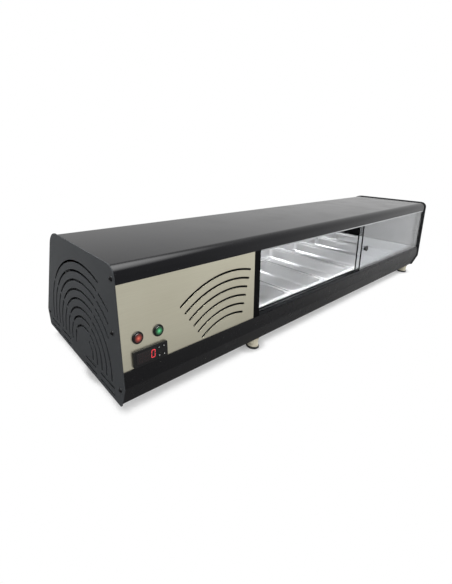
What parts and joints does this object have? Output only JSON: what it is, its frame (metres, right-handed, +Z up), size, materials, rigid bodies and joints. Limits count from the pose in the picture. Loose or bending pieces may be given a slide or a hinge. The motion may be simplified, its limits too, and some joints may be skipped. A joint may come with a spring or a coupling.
{
  "type": "refrigerated tapas display case",
  "caption": "Countertop refrigerated tapas display case with a machine compartment, sliding glass doors over a cold well with trays, slotted vents and a small controller.",
  "frame": {"origin": "centre of the footprint, on the table under the feet", "axes": "+X along the case from the machine compartment to the cold end, +Y from the operator to the customer, +Z up"},
  "size_m": [1.4632, 0.385, 0.288],
  "materials": {
    "graphite_paint": "satin powder coat",
    "black_gloss": "glossy black paint",
    "black_satin": "satin black paint",
    "stainless_brushed": "brushed, warm grey",
    "stainless": "bright rolled",
    "galvanised": "galvanised",
    "track_aluminium": "bright anodised",
    "door_glass": "clear",
    "black_plastic": "moulded",
    "display_window": "smoked gloss",
    "red_lens": "translucent",
    "green_lens": "translucent",
    "opal": "opal",
    "foam": "closed foam",
    "copper": "drawn copper tube",
    "compressor_black": "gloss enamel",
    "motor_steel": "plated",
    "condenser_aluminium": "bare fins",
    "rubber_black": "matt",
    "foot_plastic": "moulded, pale",
    "black_screws": "blackened"
  },
  "bodies": {
    "cabinet": {"base_pan": "galvanised", "bottom_track": "track_aluminium", "bulkhead": "stainless", "cable_gland": "black_plastic", "ceiling_panel": "stainless", "cold_well": "stainless", "compressor": "compressor_black", "compressor_grommets": "rubber_black", "condenser": "condenser_aluminium", "control_panel": "stainless_brushed", "controller_housing": "black_plastic", "controller_window": "display_window", "customer_glass": "door_glass", "discharge_pipe": "copper", "electric_box": "black_plastic", "end_plate_left": "graphite_paint", "end_plate_right": "graphite_paint", "end_plate_screws": "black_screws", "evaporator_coil": "copper", "fan_motor": "motor_steel", "fan_shroud": "black_plastic", "feet": "foot_plastic", "filter_drier": "copper", "foot_pads": "rubber_black", "glass_seal": "rubber_black", "green_button_bezel": "black_plastic", "green_button_nut": "black_plastic", "led_diffuser": "opal", "led_housing": "track_aluminium", "lower_fascia": "black_satin", "machine_rear_panel": "black_satin", "mullion": "black_satin", "rear_fascia": "black_satin", "red_button_bezel": "black_plastic", "red_button_nut": "black_plastic", "right_wall": "black_satin", "suction_pipe": "copper", "temperature_probe": "motor_steel", "top_cover": "black_gloss", "top_track": "track_aluminium", "tray_crossbars": "stainless", "well_insulation": "foam"},
    "left_door": {"left_door_pane": "door_glass", "left_door_knob": "black_plastic"},
    "right_door": {"right_door_pane": "door_glass", "right_door_knob": "black_plastic"},
    "fan": {"fan_blade": "black_plastic"},
    "red_button": {"red_button_lens": "red_lens"},
    "green_button": {"green_button_lens": "green_lens"},
    "key_set": {"controller_key_set": "black_plastic"},
    "key_up": {"controller_key_up": "black_plastic"},
    "key_power": {"controller_key_power": "black_plastic"},
    "key_down": {"controller_key_down": "black_plastic"},
    "tray_1": {"tray_1": "stainless"},
    "tray_2": {"tray_2": "stainless"},
    "tray_3": {"tray_3": "stainless"},
    "tray_4": {"tray_4": "stainless"},
    "tray_5": {"tray_5": "stainless"},
    "tray_6": {"tray_6": "stainless"}
  },
  "joints": [
    {"name": "left_door_slide", "type": "slide", "parent": "cabinet", "child": "left_door", "axis": [1, 0, 0], "range_m": [-0.528, 0]},
    {"name": "right_door_slide", "type": "slide", "parent": "cabinet", "child": "right_door", "axis": [1, 0, 0], "range_m": [-0.528, 0]},
    {"name": "fan_spin", "type": "hinge", "parent": "cabinet", "child": "fan", "pos_m": [-0.6727, -0.00576, 0.1219], "axis": [1, 0, 0], "continuous": true},
    {"name": "red_button_press", "type": "slide", "parent": "cabinet", "child": "red_button", "axis": [0, 0.9912, -0.1323], "range_m": [0, 0.003], "stiffness_N_per_m": 500},
    {"name": "green_button_press", "type": "slide", "parent": "cabinet", "child": "green_button", "axis": [0, 0.9912, -0.1323], "range_m": [0, 0.003], "stiffness_N_per_m": 500},
    {"name": "key_set_press", "type": "slide", "parent": "cabinet", "child": "key_set", "axis": [0, 0.9912, -0.1323], "range_m": [0, 0.001], "stiffness_N_per_m": 600},
    {"name": "key_up_press", "type": "slide", "parent": "cabinet", "child": "key_up", "axis": [0, 0.9912, -0.1323], "range_m": [0, 0.001], "stiffness_N_per_m": 600},
    {"name": "key_power_press", "type": "slide", "parent": "cabinet", "child": "key_power", "axis": [0, 0.9912, -0.1323], "range_m": [0, 0.001], "stiffness_N_per_m": 600},
    {"name": "key_down_press", "type": "slide", "parent": "cabinet", "child": "key_down", "axis": [0, 0.9912, -0.1323], "range_m": [0, 0.001], "stiffness_N_per_m": 600},
    {"name": "tray_1_lift", "type": "slide", "parent": "cabinet", "child": "tray_1", "axis": [0, 0, 1], "range_m": [0, 0.015]},
    {"name": "tray_2_lift", "type": "slide", "parent": "cabinet", "child": "tray_2", "axis": [0, 0, 1], "range_m": [0, 0.015]},
    {"name": "tray_3_lift", "type": "slide", "parent": "cabinet", "child": "tray_3", "axis": [0, 0, 1], "range_m": [0, 0.015]},
    {"name": "tray_4_lift", "type": "slide", "parent": "cabinet", "child": "tray_4", "axis": [0, 0, 1], "range_m": [0, 0.015]},
    {"name": "tray_5_lift", "type": "slide", "parent": "cabinet", "child": "tray_5", "axis": [0, 0, 1], "range_m": [0, 0.015]},
    {"name": "tray_6_lift", "type": "slide", "parent": "cabinet", "child": "tray_6", "axis": [0, 0, 1], "range_m": [0, 0.015]}
  ]
}
